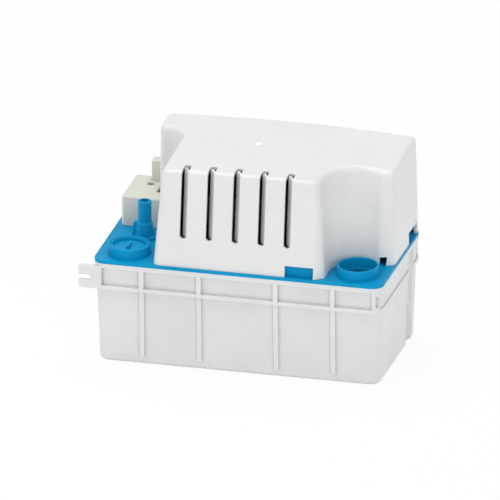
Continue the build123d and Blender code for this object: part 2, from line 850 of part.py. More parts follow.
with BuildPart() as cord_grommet:
    with BuildSketch(Plane.XZ.offset(-box_rear - grommet_proud)):
        with Locations((grommet_x, grommet_z)):
            Circle(grommet_flange / 2)
    extrude(amount=grommet_proud)
    with BuildSketch(Plane.XZ.offset(-box_rear)):
        with Locations((grommet_x, grommet_z)):
            Circle(grommet_diameter / 2 - running_gap)
    extrude(amount=box_wall)
    with BuildSketch(Plane.XZ.offset(-box_rear + box_wall)):
        with Locations((grommet_x, grommet_z)):
            Circle(grommet_flange / 2)
    extrude(amount=box_wall)
    with BuildSketch(Plane.XZ.offset(-box_rear - grommet_proud)):
        with Locations((grommet_x, grommet_z)):
            Circle(grommet_bore / 2)
    extrude(amount=grommet_proud + 3 * box_wall, mode=Mode.SUBTRACT)
finish(cord_grommet.part, "cord_grommet")

with BuildPart() as terminal_block:
    block_floor = deck_top + box_wall
    with BuildSketch(Plane.XY.offset(block_floor)):
        with Locations((block_x, block_y)):
            Rectangle(block_pitch * 3, block_width)
    extrude(amount=block_height)
    with BuildSketch(Plane.XY.offset(block_floor + block_height)):
        with Locations((block_x, block_y)):
            with GridLocations(block_pitch, 1, 3, 1):
                Circle(terminal_well)
    extrude(amount=-block_height / 2, mode=Mode.SUBTRACT)
    with BuildSketch(Plane.XZ.offset(-block_y - block_width / 2)):
        with Locations((block_x, block_floor + block_height / 4)):
            with GridLocations(block_pitch, 1, 3, 1):
                Circle(terminal_bore)
    extrude(amount=block_width, mode=Mode.SUBTRACT)
finish(terminal_block.part, "terminal_block")


# ======== Motor ========
def bearing_bracket(foot_z, arm_z, hub_z):
    """Four-armed bracket: feet on the core's corners, arms to a hub that holds the bearing."""
    with BuildPart() as bracket:
        with BuildSketch(Plane.XY.offset(foot_z)):
            with Locations(*bolt_places):
                Circle(post_radius)
        extrude(amount=bracket_height)
        with BuildSketch(Plane.XY.offset(arm_z)):
            with Locations(shaft_centre):
                for turn in (45, 135):
                    Rectangle(2 * math.sqrt(2) * bolt_offset, arm_width, rotation=turn)
        extrude(amount=arm_depth)
        with BuildSketch(Plane.XY.offset(hub_z)):
            with Locations(shaft_centre):
                Circle(hub_radius)
        extrude(amount=hub_height)
        with BuildSketch(Plane.XY.offset(foot_z - hub_height)):
            with Locations(shaft_centre):
                Circle(bearing_radius)
            with Locations(*bolt_places):
                Circle(bolt_diameter / 2 + screw_gap)
        extrude(amount=bracket_height + 2 * hub_height, mode=Mode.SUBTRACT)
    return bracket.part


def sleeve(bottom, height, outer, inner):
    """Ring on the motor's axis."""
    with BuildPart() as ring:
        with BuildSketch(Plane.XY.offset(bottom)):
            with Locations(shaft_centre):
                Circle(outer)
                Circle(inner, mode=Mode.SUBTRACT)
        extrude(amount=height)
    return ring.part


lower_hub = bracket_bottom - hub_overhang
upper_hub = bracket_top - hub_height + hub_overhang
finish(bearing_bracket(bracket_bottom, bracket_bottom, lower_hub), "lower_bearing_bracket")
finish(bearing_bracket(core_top, bracket_top - arm_depth, upper_hub), "upper_bearing_bracket")
for name, bottom in (("lower_bearing", lower_hub), ("upper_bearing", upper_hub)):
    bearing = sleeve(bottom, hub_height, bearing_radius - running_gap, shaft_radius + running_gap)
    finish(bearing, name)

bore_radius = rotor_radius + rotor_gap
shading_places = [
    (motor_x + side * x, motor_y + side * shading_y)
    for side in (-1, 1)
    for x in (shading_x, shading_x + shading_span)
]
limb_x = motor_x - core_coil_reach + limb_width / 2
core_right = motor_x + core_half_width

with BuildPart() as stator_core:
    with BuildSketch(Plane.XY.offset(core_bottom)):
        with Locations(((core_right + motor_x - core_coil_reach) / 2, motor_y)):
            Rectangle(core_half_width + core_coil_reach, 2 * core_half_width)
        with Locations(shaft_centre):
            Circle(bore_radius, mode=Mode.SUBTRACT)
        with Locations((limb_x + limb_width / 2 + window_width / 2, motor_y)):
            Rectangle(window_width, window_length, mode=Mode.SUBTRACT)
        with Locations(*bolt_places):
            Circle(bolt_diameter / 2 + screw_gap, mode=Mode.SUBTRACT)
        with Locations(*shading_places):
            Rectangle(shading_slot, shading_slot, mode=Mode.SUBTRACT)
    extrude(amount=core_height)
    corners = stator_core.edges().filter_by(Axis.Z)
    chamfer(corners.group_by(Axis.X)[0] + corners.group_by(Axis.X)[-1], bolt_diameter / 2)
finish(stator_core.part, "stator_core")

with BuildPart() as shading_rings:
    wire = shading_slot - 2 * screw_gap
    for side in (-1, 1):
        with BuildSketch(Plane.XZ.offset(-motor_y - side * shading_y)):
            with Locations((motor_x + side * (shading_x + shading_span / 2), core_bottom + core_height / 2)):
                Rectangle(shading_span + wire, core_height + 2 * wire)
                Rectangle(shading_span - wire, core_height, mode=Mode.SUBTRACT)
        extrude(amount=wire / 2, both=True)
finish(shading_rings.part, "shading_rings")

bobbin_plane = Plane(
    origin=(limb_x, motor_y, core_bottom + core_height / 2), z_dir=(0, -1, 0), x_dir=(1, 0, 0)
)
bobbin_length = window_length - 2 * screw_gap
tube_x = limb_width + 2 * screw_gap + 2 * bobbin_wall
tube_z = core_height + 2 * screw_gap + 2 * bobbin_wall

with BuildPart() as coil_bobbin:
    with BuildSketch(bobbin_plane):
        Rectangle(tube_x, tube_z)
    extrude(amount=bobbin_length / 2, both=True)
    for side in (-1, 1):
        with BuildSketch(bobbin_plane.offset(side * bobbin_length / 2)):
            RectangleRounded(
                tube_x + 2 * winding_depth + bobbin_wall, tube_z + 2 * winding_depth, 2 * bobbin_wall
            )
        extrude(amount=-side * bobbin_wall)
    with BuildSketch(bobbin_plane):
        Rectangle(limb_width + 2 * screw_gap, core_height + 2 * screw_gap)
    extrude(amount=bobbin_length, both=True, mode=Mode.SUBTRACT)
finish(coil_bobbin.part, "coil_bobbin")

with BuildPart() as coil_winding:
    with BuildSketch(bobbin_plane):
        RectangleRounded(
            tube_x + 2 * winding_depth - bobbin_wall,
            tube_z + 2 * winding_depth - 2 * bobbin_wall,
            winding_corner,
        )
        Rectangle(tube_x, tube_z, mode=Mode.SUBTRACT)
    extrude(amount=bobbin_length / 2 - bobbin_wall, both=True)
finish(coil_winding.part, "coil_winding")

with BuildPart() as motor_bolts:
    shank = bracket_top - bracket_bottom + bolt_grip - screw_gap
    with BuildSketch(Plane.XY.offset(bracket_top)):
        with Locations(*bolt_places):
            RegularPolygon(bolt_head_radius, 6)
    extrude(amount=bolt_head)
    with BuildSketch(Plane.XY.offset(bracket_top)):
        with Locations(*bolt_places):
            Circle(bolt_diameter / 2 - running_gap)
    extrude(amount=-shank)
finish(motor_bolts.part, "motor_bolts")

# ======== Rotor, fan and impeller, all on one shaft ========
impeller_bottom = volute_bottom + impeller_rise
rotor_end = (bracket_height - hub_height + hub_overhang - thrust_play) / 2
washer_bore = shaft_radius + running_gap

with BuildPart() as rotor_shaft:
    with Locations((motor_x, motor_y, impeller_bottom)):
        Cylinder(
            shaft_radius, shaft_top - impeller_bottom, align=(Align.CENTER, Align.CENTER, Align.MIN)
        )
    chamfer(rotor_shaft.edges().filter_by(GeomType.CIRCLE), shaft_radius * 0.2)
finish(rotor_shaft.part, "rotor_shaft")

with BuildPart() as rotor:
    for bottom, height, radius in (
        (core_bottom - rotor_overhang, core_height + 2 * rotor_overhang, rotor_radius),
        (core_bottom - rotor_end, core_height + 2 * rotor_end, rotor_radius - rotor_ring_step),
    ):
        with BuildSketch(Plane.XY.offset(bottom)):
            with Locations(shaft_centre):
                Circle(radius)
                Circle(washer_bore, mode=Mode.SUBTRACT)
        extrude(amount=height)
finish(rotor.part, "rotor")

with BuildPart() as thrust_washers:
    for bottom in (core_bottom - rotor_end - washer_thickness, core_top + rotor_end):
        with BuildSketch(Plane.XY.offset(bottom)):
            with Locations(shaft_centre):
                Circle(bearing_radius)
                Circle(washer_bore, mode=Mode.SUBTRACT)
        extrude(amount=washer_thickness)
finish(thrust_washers.part, "thrust_washers")

finish(sleeve(slinger_z, slinger_height, slinger_radius, washer_bore), "water_slinger")

with BuildPart() as cooling_fan:
    with BuildSketch(Plane.XY.offset(fan_bottom)):
        with Locations(shaft_centre):
            Circle(fan_radius)
    extrude(amount=fan_disc)
    with BuildSketch(Plane.XY.offset(fan_bottom)):
        with Locations(shaft_centre):
            Circle(fan_hub)
            with PolarLocations((fan_radius + fan_hub - fan_disc) / 2, fan_blades):
                Rectangle(fan_radius - fan_hub + fan_disc, fan_disc)
    extrude(amount=fan_height)
    with Locations((motor_x, motor_y, fan_bottom)):
        Cylinder(washer_bore, 4 * fan_height, mode=Mode.SUBTRACT)
finish(cooling_fan.part, "cooling_fan")

with BuildPart() as impeller:
    with BuildSketch(Plane.XY.offset(impeller_bottom + impeller_height - impeller_disc)):
        with Locations(shaft_centre):
            Circle(impeller_radius)
    extrude(amount=impeller_disc)
    with BuildSketch(Plane.XY.offset(impeller_bottom)):
        with Locations(shaft_centre):
            Circle(impeller_hub)
            with PolarLocations(0, impeller_vanes):
                with BuildLine():
                    sweep_back = ThreePointArc(
                        (impeller_hub - impeller_disc, 0),
                        (vane_mid_x, vane_mid_y),
                        (vane_tip_x, vane_tip_y),
                    )
                vane = trace(sweep_back, line_width=impeller_disc, mode=Mode.PRIVATE)
                add(vane)
    extrude(amount=impeller_height - impeller_disc)
    with Locations((motor_x, motor_y, impeller_bottom)):
        Cylinder(washer_bore, 4 * impeller_height, mode=Mode.SUBTRACT)
finish(impeller.part, "impeller")

# ======== Pump column and volute ========
socket_radius = pipe_diameter / 2 + running_gap
with BuildPart() as volute:
    with BuildSketch(Plane.XY.offset(volute_bottom)):
        with Locations(shaft_centre):
            Circle(flange_radius)
    extrude(amount=flange_thickness)
    with BuildSketch(Plane.XY.offset(volute_bottom)):
        with Locations(shaft_centre):
            Circle(volute_radius)
    extrude(amount=volute_height)
    with BuildSketch(Plane.YZ.offset(socket_end_x)):
        with Locations((outlet_y, discharge_z)):
            Circle(socket_radius + socket_wall)
    extrude(amount=motor_x - socket_end_x)
    with BuildSketch(Plane.XY.offset(volute_bottom)):
        with Locations(shaft_centre):
            Circle(volute_radius - volute_wall)
    extrude(amount=volute_height - plate_thickness, mode=Mode.SUBTRACT)
    with BuildSketch(Plane.YZ.offset(socket_end_x)):
        with Locations((outlet_y, discharge_z)):
            Circle(pipe_bore / 2)
    extrude(amount=motor_x - socket_end_x, mode=Mode.SUBTRACT)
    with BuildSketch(Plane.YZ.offset(socket_end_x)):
        with Locations((outlet_y, discharge_z)):
            Circle(socket_radius)
    extrude(amount=pipe_entry, mode=Mode.SUBTRACT)
    with Locations((motor_x, motor_y, volute_top)):
        Cylinder(shaft_radius + slide_gap, volute_height, mode=Mode.SUBTRACT)
    with Locations((motor_x, motor_y, volute_bottom)):
        with PolarLocations((flange_radius + volute_radius) / 2, 4, start_angle=volute_screw_turn):
            Cylinder(pump_screw_radius + screw_gap, 2 * volute_height, mode=Mode.SUBTRACT)
finish(volute.part, "volute")

with BuildPart() as suction_plate:
    with BuildSketch(Plane.XY.offset(suction_plate_bottom)):
        with Locations(shaft_centre):
            Circle(flange_radius)
    extrude(amount=plate_thickness)
    with BuildSketch(Plane.XY.offset(suction_plate_bottom)):
        with Locations(shaft_centre):
            Circle(eye_radius + plate_thickness)
    extrude(amount=-eye_skirt)
    with Locations((motor_x, motor_y, suction_plate_bottom)):
        Cylinder(eye_radius, 4 * plate_thickness, mode=Mode.SUBTRACT)
        with PolarLocations((flange_radius + volute_radius) / 2, 4, start_angle=volute_screw_turn):
            Cylinder(pump_screw_radius + screw_gap, 4 * plate_thickness, mode=Mode.SUBTRACT)
    for turn in (0, 90):
        with Locations(Location((motor_x, motor_y, suction_plate_bottom - eye_skirt), (0, 0, turn))):
            Box(4 * eye_radius, eye_notch, 2 * eye_notch_height, mode=Mode.SUBTRACT)
finish(suction_plate.part, "suction_plate")

with BuildPart() as volute_screws:
    with Locations((motor_x, motor_y, suction_plate_bottom)):
        with PolarLocations((flange_radius + volute_radius) / 2, 4, start_angle=volute_screw_turn):
            Cylinder(2 * pump_screw_radius, pump_screw_head, align=(Align.CENTER, Align.CENTER, Align.MAX))
            Cylinder(
                pump_screw_radius,
                plate_thickness + flange_thickness,
                align=(Align.CENTER, Align.CENTER, Align.MIN),
            )
finish(volute_screws.part, "volute_screws")

with BuildPart() as pump_column:
    with BuildSketch(Plane.XY.offset(volute_top)):
        with Locations(shaft_centre):
            Circle(column_radius)
    extrude(amount=tank_height - volute_top)
    for bottom in (volute_top, tank_height - flange_thickness):
        with BuildSketch(Plane.XY.offset(bottom)):
            with Locations(shaft_centre):
                Circle(column_flange)
        extrude(amount=flange_thickness)
    with BuildSketch(Plane.XY.offset(volute_top)):
        with Locations(shaft_centre):
            Circle(column_radius - column_wall)
    extrude(amount=tank_height - volute_top, mode=Mode.SUBTRACT)
    for turn in (0, 90):
        with Locations(Location((motor_x, motor_y, (volute_top + tank_height) / 2), (0, 0, turn))):
            Box(4 * column_radius, column_window, column_window_height, mode=Mode.SUBTRACT)
    with Locations((motor_x, motor_y, tank_height)):
        with PolarLocations((column_flange + column_radius) / 2, 3, start_angle=column_screw_turn):
            Cylinder(pump_screw_radius + screw_gap, 2 * tank_height, mode=Mode.SUBTRACT)
finish(pump_column.part, "pump_column")

with BuildPart() as column_screws:
    with Locations((motor_x, motor_y, tank_height - flange_thickness)):
        with PolarLocations((column_flange + column_radius) / 2, 3, start_angle=column_screw_turn):
            Cylinder(2 * pump_screw_radius, pump_screw_head, align=(Align.CENTER, Align.CENTER, Align.MAX))
            Cylinder(
                pump_screw_radius,
                flange_thickness,
                align=(Align.CENTER, Align.CENTER, Align.MIN),
            )
    with Locations((motor_x, motor_y, volute_top + flange_thickness)):
        with PolarLocations((column_flange + column_radius) / 2, 3, start_angle=column_screw_turn):
            Cylinder(2 * pump_screw_radius, pump_screw_head, align=(Align.CENTER, Align.CENTER, Align.MIN))
            Cylinder(
                pump_screw_radius,
                flange_thickness,
                align=(Align.CENTER, Align.CENTER, Align.MAX),
            )
finish(column_screws.part, "column_screws")

# ======== Float ========
float_place = (float_x, float_y)
stem_top = deck_top + lever_rise - touch_gap

with BuildPart() as float_body:
    with BuildSketch(Plane.XY.offset(float_rest)):
        with Locations(float_place):
            RectangleRounded(float_length, float_width, float_corner)
    extrude(amount=float_height)
    ends = float_body.faces().filter_by(Axis.Z)
    fillet(ends.edges(), float_edge)
    with Locations((float_x, float_y, float_rest)):
        Cylinder(stem_radius + running_gap, 4 * float_height, mode=Mode.SUBTRACT)
finish(float_body.part, "float")

with BuildPart() as float_stem:
    with Locations((float_x, float_y, float_rest - stem_foot)):
        Cylinder(
            stem_radius, stem_top - float_rest + stem_foot, align=(Align.CENTER, Align.CENTER, Align.MIN)
        )
        Cylinder(collar_radius, stem_foot - touch_gap / 2, align=(Align.CENTER, Align.CENTER, Align.MIN))
    fillet(float_stem.edges().filter_by(GeomType.CIRCLE).sort_by(Axis.Z)[-1], stem_tip)
finish(float_stem.part, "float_stem")

with BuildPart() as stem_collar:
    with BuildSketch(Plane.XY.offset(guide_top + touch_gap)):
        with Locations(float_place):
            Circle(collar_radius)
            Circle(stem_radius + running_gap, mode=Mode.SUBTRACT)
    extrude(amount=collar_height)
finish(stem_collar.part, "stem_collar")

# ======== Switch lever, switches and their bracket ========
pivot_y = float_y + lever_length
lever_bottom = deck_top + lever_rise
pivot_z = lever_bottom + lever_hub - lever_drop
plunger_y = pivot_y - plunger_offset
switch_bottom = lever_bottom + lever_thickness + switch_rise
switch_xs = [float_x + side * (switch_width + switch_gap) / 2 for side in (-1, 1)]
cheek_inner = switch_width + switch_gap / 2 + cheek_gap

with BuildPart() as switch_lever:
    with BuildSketch(Plane.XY.offset(lever_bottom)):
        with Locations((float_x, (float_y + pivot_y - lever_tip) / 2)):
            Rectangle(lever_width, lever_length + lever_tip)
    extrude(amount=lever_thickness)
    with BuildSketch(Plane.YZ.offset(float_x - lever_width / 2)):
        with Locations((pivot_y, pivot_z)):
            Circle(lever_hub)
    extrude(amount=lever_width)
    with Locations(Location((float_x, pivot_y, pivot_z), (0, 90, 0))):
        Cylinder(pivot_radius + running_gap, 2 * lever_width, mode=Mode.SUBTRACT)
finish(switch_lever.part, "switch_lever")

switch_pin_z = switch_bottom + switch_pin_rise
cross_pins = ((pivot_y, pivot_z), (switch_front_y, switch_pin_z), (switch_rear_y, switch_pin_z))

with BuildPart() as switch_bracket:
    with BuildSketch(Plane.XY.offset(deck_top)):
        with Locations((float_x, bracket_y)):
            Rectangle(2 * (cheek_inner + cheek_thickness), cheek_length)
    extrude(amount=cheek_height)
    with BuildSketch(Plane.XY.offset(deck_top + cheek_thickness)):
        with Locations((float_x, bracket_y)):
            Rectangle(2 * cheek_inner, 2 * cheek_length)
    extrude(amount=cheek_height, mode=Mode.SUBTRACT)
    for y, z in cross_pins:
        with Locations(Location((float_x, y, z), (0, 90, 0))):
            Cylinder(pivot_radius + running_gap, 4 * cheek_inner, mode=Mode.SUBTRACT)
    with Locations((float_x, bracket_y, deck_top)):
        with GridLocations(1, base_screw_span, 1, 2):
            Cylinder(pump_screw_radius + screw_gap, 4 * cheek_thickness, mode=Mode.SUBTRACT)
finish(switch_bracket.part, "switch_bracket")

with BuildPart() as lever_pin:
    with Locations(Location((float_x, pivot_y, pivot_z), (0, 90, 0))):
        Cylinder(pivot_radius, 2 * (cheek_inner + 2 * cheek_thickness))
finish(lever_pin.part, "lever_pin")

with BuildPart() as switch_pins:
    for y, z in cross_pins[1:]:
        with Locations(Location((float_x, y, z), (0, 90, 0))):
            Cylinder(pivot_radius, 2 * (cheek_inner + 2 * cheek_thickness))
finish(switch_pins.part, "switch_pins")

for name, x in zip(("run_switch", "alarm_switch"), switch_xs):
    with BuildPart() as switch:
        with BuildSketch(Plane.XY.offset(switch_bottom)):
            with Locations((x, bracket_y)):
                Rectangle(switch_width, switch_length)
        extrude(amount=switch_height)
        for y, z in cross_pins[1:]:
            with Locations(Location((x, y, z), (0, 90, 0))):
                Cylinder(pivot_radius + running_gap, 2 * switch_width, mode=Mode.SUBTRACT)
        with Locations((x, plunger_y, switch_bottom)):
            Cylinder(plunger_radius + touch_gap, 2 * plunger_well, mode=Mode.SUBTRACT)
        # solder tags on top
        with BuildSketch(Plane.XY.offset(switch_bottom + switch_height)):
            with Locations((x, bracket_y)):
                with GridLocations(1, switch_length / 3, 1, 3):
                    Rectangle(switch_width / 2, tag_thickness)
        extrude(amount=tag_height)
    finish(switch.part, name)

with BuildPart() as switch_plungers:
    for x in switch_xs:
        with Locations((x, plunger_y, lever_bottom + lever_thickness + touch_gap)):
            Cylinder(plunger_radius, plunger_length, align=(Align.CENTER, Align.CENTER, Align.MIN))
finish(switch_plungers.part, "switch_plungers")
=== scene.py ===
"""Looks for the condensate pump: materials, light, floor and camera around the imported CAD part.

Everything is in metres in the part's own frame: X along the tank, Y towards its back, Z up from
the tank's base. Sizes of the cover, its vents and its gate mark are named in millimetres.
"""

import math

import bpy
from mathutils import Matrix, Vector


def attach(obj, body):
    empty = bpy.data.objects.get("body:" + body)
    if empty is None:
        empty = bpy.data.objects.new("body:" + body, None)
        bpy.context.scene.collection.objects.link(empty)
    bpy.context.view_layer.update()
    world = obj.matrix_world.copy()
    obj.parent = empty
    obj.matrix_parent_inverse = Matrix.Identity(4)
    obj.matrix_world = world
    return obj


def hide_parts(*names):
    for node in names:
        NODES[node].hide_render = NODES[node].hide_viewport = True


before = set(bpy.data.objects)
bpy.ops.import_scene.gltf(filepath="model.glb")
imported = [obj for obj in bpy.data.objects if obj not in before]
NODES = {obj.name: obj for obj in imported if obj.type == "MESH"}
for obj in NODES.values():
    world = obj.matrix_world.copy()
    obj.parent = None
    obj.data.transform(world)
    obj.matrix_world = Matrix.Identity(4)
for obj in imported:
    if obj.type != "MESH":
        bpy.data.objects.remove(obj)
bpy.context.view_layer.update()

MM = 0.001

# ---------------------------------------------------------------- camera
AZIMUTH = math.radians(14.27)
ELEVATION = math.radians(21.9)
AIM = Vector((-5.3 * MM, 0.0, 79.0 * MM))
FRAME_WIDTH = 0.3856
CAMERA_DISTANCE = 1.6

# ---------------------------------------------------------------- surface detail
WAVE_BASE = 20  # a wave texture's bands repeat every 2 pi / 20 at scale 1
SHEET_PITCH = 0.5 * MM  # core sheets
WIRE_PITCH = 0.45 * MM  # turns of the winding
# painted shade: moulded plastics are darkened where surfaces meet within this reach, to this
# share of their shade colour
CREVICE_REACH = 2.5 * MM
CREVICE_TONE = 0.86
CREVICE_OPEN = (0.25, 0.85)  # openness over which the painted crevice shade fades out
# painted highlight: outer edges of the moulded plastics are lightened towards an edge colour
EDGE_REACH = 0.9 * MM
EDGE_TURN = (0.80, 0.985)  # cosine of the turn that counts as an edge
EDGE_OPEN = (0.72, 0.95)  # openness that tells an outer edge from a corner
EDGE_GLOSS = 0.22
MOTTLE_SCALE = 28
SINK_SCALE = 46
PLASTIC_IOR = 1.49
MILKY_REACH = 4 * MM
METAL_EDGE = 0.2 * MM
CAST_EDGE = 0.35 * MM
STEEL_CLOUD = 90
DRAWN_DEPTH = 0.008 * MM
SHEET_DEPTH = 0.08 * MM
SHEET_GRAIN = 1800
SHEET_GRAIN_DEPTH = 0.006 * MM
STAIN_SCALE = 150
WIRE_WAVER = 1.2
WIRE_CLOUD = 110
WIRE_DEPTH = 0.14 * MM
GROOVE_TONE = 0.25  # between turns of wire

# ---------------------------------------------------------------- cover, in mm
DECK_TOP = 84.5
COVER_FRONT = -61.5  # outside of the front wall, at the deck
FRONT_LEAN = math.radians(7.8)
VENT_COUNT = 5
VENT_PITCH = 20.65
VENT_MIDDLE = -2.1
VENT_WIDTH = 4.8
VENT_MOVE = -0.6  # to where the photograph shows them
VENT_WIDTH_SEEN = 5.6
VENT_NEAR = 2.9  # half the width that widens with a vent
VENT_FOOT = 15.0  # above the deck
VENT_REAR = -36.0
REAR_WALL = (-86.0, 4.9)  # left side's rear: X at the deck and lean in degrees, as modelled
FRONT_WALL = (-65.5, 5.3)  # left side's front
RIGHT_WALL = (112.0, -2.1)
REAR_WALL_SEEN = (-86.0, 0.8)  # as the photograph shows them
FRONT_WALL_SEEN = (-67.5, 3.6)
RIGHT_WALL_SEEN = (114.4, -1.0)
INLET = (91.0, -41.0)
SCOOP_RADIUS = 28.5  # as modelled, straight up
SCOOP_SEEN = (22.8, 4.6)  # radius at the deck and lean outwards in degrees
SCOOP_HOLD = 33.5  # full shift within this distance of the inlet's axis
SCOOP_FADE = 46.0  # none beyond this one
LEDGE_FORWARD = 1.8  # upright's front, at the deck
COVER_HEIGHT = 79.0
SIDE_HOLD = 6.0  # full shift up to this far right of the left side's front
SIDE_FADE = -47.5  # none from here, left of the first vent
CORNER_FADE = (10.0, 5.0)  # left of the scoop's wall: none, full
RIGHT_FADE = (8.0, 2.0)  # left of the right wall: none, full
LEDGE_FADE = (-15.0, 0.0)  # in Y: full, none
BLADE_FOOT = 107.6
BLADE_TOP = 161.0
BLADE_STEPS = 6
BLADE_REACH = 4.5
BLADE_FRONT = 2.3  # behind the outside of the wall
BLADE_BACK = 6.1
BLADE_WALL = 0.7
BLADE_BITE = 0.3  # into the slot's side
GATE_PLACE = (-0.8, 10.2, 164.1)
GATE_RADIUS = 3.3
GATE_HEIGHT = 0.6
GATE_RINGS = 4
GATE_SIDES = 24


def make_camera():
    data = bpy.data.cameras.new("camera")
    data.type = "ORTHO"
    data.ortho_scale = FRAME_WIDTH
    data.clip_start = 0.05
    data.clip_end = 30
    cam = bpy.data.objects.new("camera", data)
    back = Vector(
        (
            math.sin(AZIMUTH) * math.cos(ELEVATION),
            -math.cos(AZIMUTH) * math.cos(ELEVATION),
            math.sin(ELEVATION),
        )
    )
    cam.location = AIM + back * CAMERA_DISTANCE
    cam.rotation_mode = "QUATERNION"
    cam.rotation_quaternion = (-back).to_track_quat("-Z", "Y")
    bpy.context.scene.collection.objects.link(cam)
    bpy.context.scene.camera = cam


# ---------------------------------------------------------------- node helpers
def srgb(r, g, b):
    """A colour given as 0 to 255 display values, as the linear values that shaders take."""

    def linear(v):
        v = v / 255
        return v / 12.92 if v <= 0.04045 else ((v + 0.055) / 1.055) ** 2.4

    return (linear(r), linear(g), linear(b), 1.0)


def darker(colour, share):
    """The same colour at a share of its brightness."""
    return tuple(share * c for c in colour[:3]) + (1.0,)


class Tree:
    """A material's node tree, with short calls for adding and joining nodes."""

    def __init__(self, name):
        self.material = bpy.data.materials.new(name)
        self.material.use_nodes = True
        self.nodes = self.material.node_tree.nodes
        self.links = self.material.node_tree.links
        self.nodes.clear()
        self.out = self.nodes.new("ShaderNodeOutputMaterial")
        self.place = self.nodes.new("ShaderNodeTexCoord").outputs["Object"]

    def add(self, kind, inputs=None, **settings):
        node = self.nodes.new(kind)
        for key, value in settings.items():
            setattr(node, key, value)
        for key, value in (inputs or {}).items():
            if isinstance(value, bpy.types.NodeSocket):
                self.links.new(value, node.inputs[key])
            else:
                node.inputs[key].default_value = value
        return node

    def stretched(self, scale):
        return self.add(
            "ShaderNodeMapping", {"Vector": self.place, "Scale": scale}
        ).outputs["Vector"]

    def noise(self, scale, detail=2.0, roughness=0.5, vector=None):
        return self.add(
            "ShaderNodeTexNoise",
            {
                "Vector": vector or self.place,
                "Scale": scale,
                "Detail": detail,
                "Roughness": roughness,
            },
        ).outputs["Fac"]

    def between(self, value, low, high, start=0.3, stop=0.7):
        """Maps a value's range start..stop onto low..high."""
        return self.add(
            "ShaderNodeMapRange",
            {
                "Value": value,
                "From Min": start,
                "From Max": stop,
                "To Min": low,
                "To Max": high,
            },
        ).outputs["Result"]

    def mix(self, factor, a, b):
        return self.add(
            "ShaderNodeMix",
            {"Factor": factor, 6: a, 7: b},
            data_type="RGBA",
        ).outputs[2]

    def rounded(self, radius):
        return self.add("ShaderNodeBevel", {"Radius": radius}, samples=4).outputs[
            "Normal"
        ]

    def bands(self, axis, pitch, waver=0.3):
        """Waves along one axis, as of sheets or turns of wire laid side by side."""
        return self.add(
            "ShaderNodeTexWave",
            {
                "Vector": self.place,
                "Scale": 2 * math.pi / (WAVE_BASE * pitch),
                "Distortion": waver,
                "Detail": 2.0,
                "Detail Scale": 0.4,
            },
            wave_type="BANDS",
            bands_direction=axis,
        ).outputs["Fac"]

    def crevice(self, reach):
        """1 in the open, less where surfaces meet within the reach."""
        return self.add(
            "ShaderNodeAmbientOcclusion", {"Distance": reach}, samples=4
        ).outputs["AO"]

    def edges(self, radius, open_air):
        """1 along sharp outer edges, 0 on faces and in corners."""
        geometry = self.add("ShaderNodeNewGeometry")
        turned = self.add(
            "ShaderNodeVectorMath",
            {0: self.rounded(radius), 1: geometry.outputs["Normal"]},
            operation="DOT_PRODUCT",
        ).outputs["Value"]
        edge = self.between(turned, 1.0, 0.0, *EDGE_TURN)
        clear = self.between(open_air, 0.0, 1.0, *EDGE_OPEN)
        return self.add(
            "ShaderNodeMath", {0: edge, 1: clear}, operation="MULTIPLY"
        ).outputs[0]

    def bump(self, height, distance, normal=None):
        inputs = {"Height": height, "Distance": distance, "Strength": 1.0}
        if normal is not None:
            inputs["Normal"] = normal
        return self.add("ShaderNodeBump", inputs).outputs["Normal"]

    def surface(self, **inputs):
        shader = self.add(
            "ShaderNodeBsdfPrincipled",
            {key.replace("_", " "): value for key, value in inputs.items()},
        )
        self.links.new(shader.outputs["BSDF"], self.out.inputs["Surface"])
        return self.material


def moulded(
    name,
    colour,
    shade,
    gloss=(0.36, 0.46),
    grain=1500,
    grain_depth=0.012 * MM,
    wave_depth=0.06 * MM,
    edge=0.35 * MM,
    milky=0.0,
    level=0.5,
    painted_highlight_colour=None,
):
    """Moulded plastic: slow mottling, fine spark-eroded grain, slight sink waves, soft edges;
    with an edge colour also painted shade in crevices and a painted highlight along outer edges.
    """
    t = Tree(name)
    fine = t.noise(grain, 2, 0.6)
    tone = t.mix(t.between(t.noise(MOTTLE_SCALE, 3), 0.0, 1.0), colour, shade)
    rough = t.between(fine, gloss[0], gloss[1])
    if painted_highlight_colour:
        open_air = t.crevice(CREVICE_REACH)
        # painted highlight: lighter along outer edges
        painted_highlight_mask = t.edges(EDGE_REACH, open_air)
        # painted shade: darker where surfaces meet
        painted_shade_mask = t.between(open_air, 1.0, 0.0, *CREVICE_OPEN)
        tone = t.mix(painted_shade_mask, tone, darker(shade, CREVICE_TONE))
        tone = t.mix(painted_highlight_mask, tone, painted_highlight_colour)
        rough = t.between(painted_highlight_mask, rough, EDGE_GLOSS, 0.0, 1.0)
    normal = t.rounded(edge)
    normal = t.bump(t.noise(SINK_SCALE, 1), wave_depth, normal)
    normal = t.bump(fine, grain_depth, normal)
    inputs = {
        "Base_Color": tone,
        "Roughness": rough,
        "Normal": normal,
        "IOR": PLASTIC_IOR,
        "Specular_IOR_Level": level,
    }
    if milky:
        inputs["Subsurface_Weight"] = milky
        inputs["Subsurface_Radius"] = (1.0, 0.95, 0.9)
        inputs["Subsurface_Scale"] = MILKY_REACH
    return t.surface(**inputs)


def metal(name, colour, shade, gloss=(0.22, 0.4), grain=(900, 900, 60)):
    """Machined metal with a drawn grain along one axis."""
    t = Tree(name)
    drawn = t.noise(1.0, 3, 0.6, t.stretched(grain))
    cloud = t.noise(STEEL_CLOUD, 3)
    tone = t.mix(t.between(cloud, 0.0, 1.0), colour, shade)
    normal = t.bump(drawn, DRAWN_DEPTH, t.rounded(METAL_EDGE))
    return t.surface(
        Base_Color=tone,
        Metallic=1.0,
        Roughness=t.between(drawn, gloss[0], gloss[1]),
        Normal=normal,
    )


